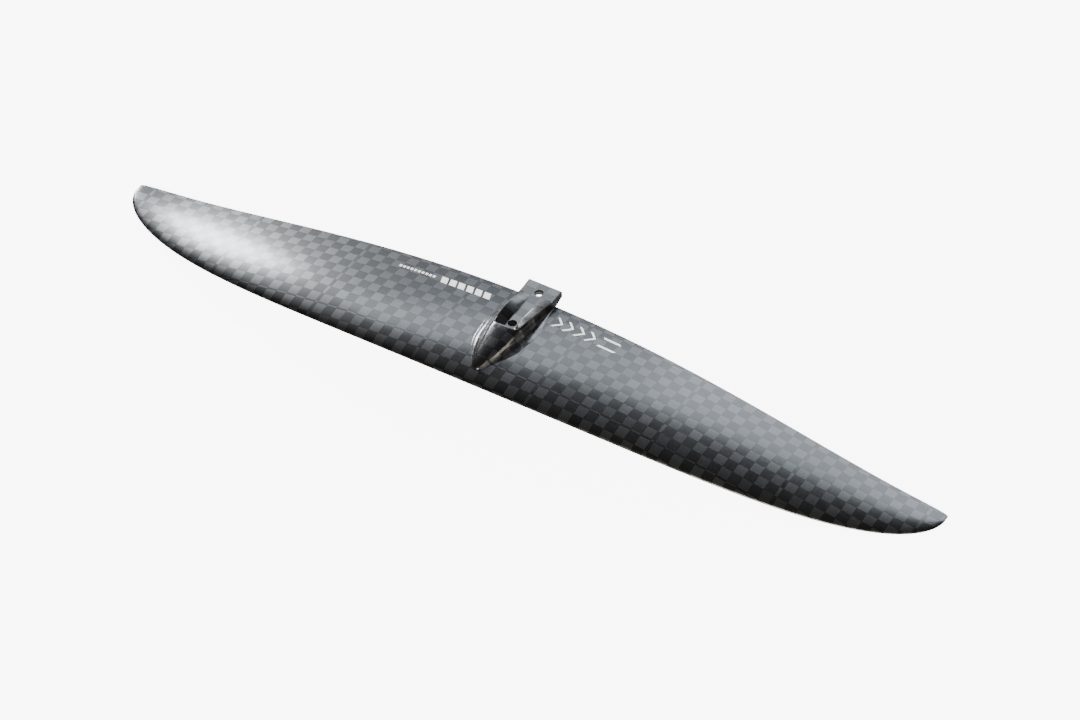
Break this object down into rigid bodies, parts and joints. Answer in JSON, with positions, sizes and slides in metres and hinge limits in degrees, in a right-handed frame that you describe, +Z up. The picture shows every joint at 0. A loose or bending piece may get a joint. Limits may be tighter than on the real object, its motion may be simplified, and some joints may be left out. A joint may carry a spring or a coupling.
{
  "type": "hydrofoil front wing",
  "caption": "High-aspect carbon hydrofoil front wing with drooped tips and a moulded cradle, bored for bolts, that seats a fuselage.",
  "frame": {"origin": "on the cradle's flat strip, midway between the two bolt bores", "axes": "+X along the span to port, +Y aft towards the trailing edge, +Z up, out of the cradle"},
  "size_m": [0.8986, 0.1421, 0.0654],
  "materials": {
    "spread_tow_carbon": "spread-tow plain-weave carbon under a satin-gloss clear coat",
    "solid_carbon": "solid carbon laminate, matt",
    "unidirectional_carbon": "unidirectional carbon, fibres along the span",
    "foam_core": "closed-cell structural foam, fine grained",
    "stainless_steel": "turned stainless steel"
  },
  "bodies": {
    "root": {"upper_skin": "spread_tow_carbon", "lower_skin": "spread_tow_carbon", "fuselage_cradle": "spread_tow_carbon", "centre_block": "solid_carbon", "upper_spar_cap": "unidirectional_carbon", "lower_spar_cap": "unidirectional_carbon", "shear_web_port": "solid_carbon", "front_core_port": "foam_core", "rear_core_port": "foam_core", "leading_edge_filler_port": "unidirectional_carbon", "trailing_edge_filler_port": "unidirectional_carbon", "tip_filler_port": "solid_carbon", "shear_web_starboard": "solid_carbon", "front_core_starboard": "foam_core", "rear_core_starboard": "foam_core", "leading_edge_filler_starboard": "unidirectional_carbon", "trailing_edge_filler_starboard": "unidirectional_carbon", "tip_filler_starboard": "solid_carbon", "bolt_seat_front": "stainless_steel", "bolt_seat_rear": "stainless_steel"}
  },
  "joints": []
}
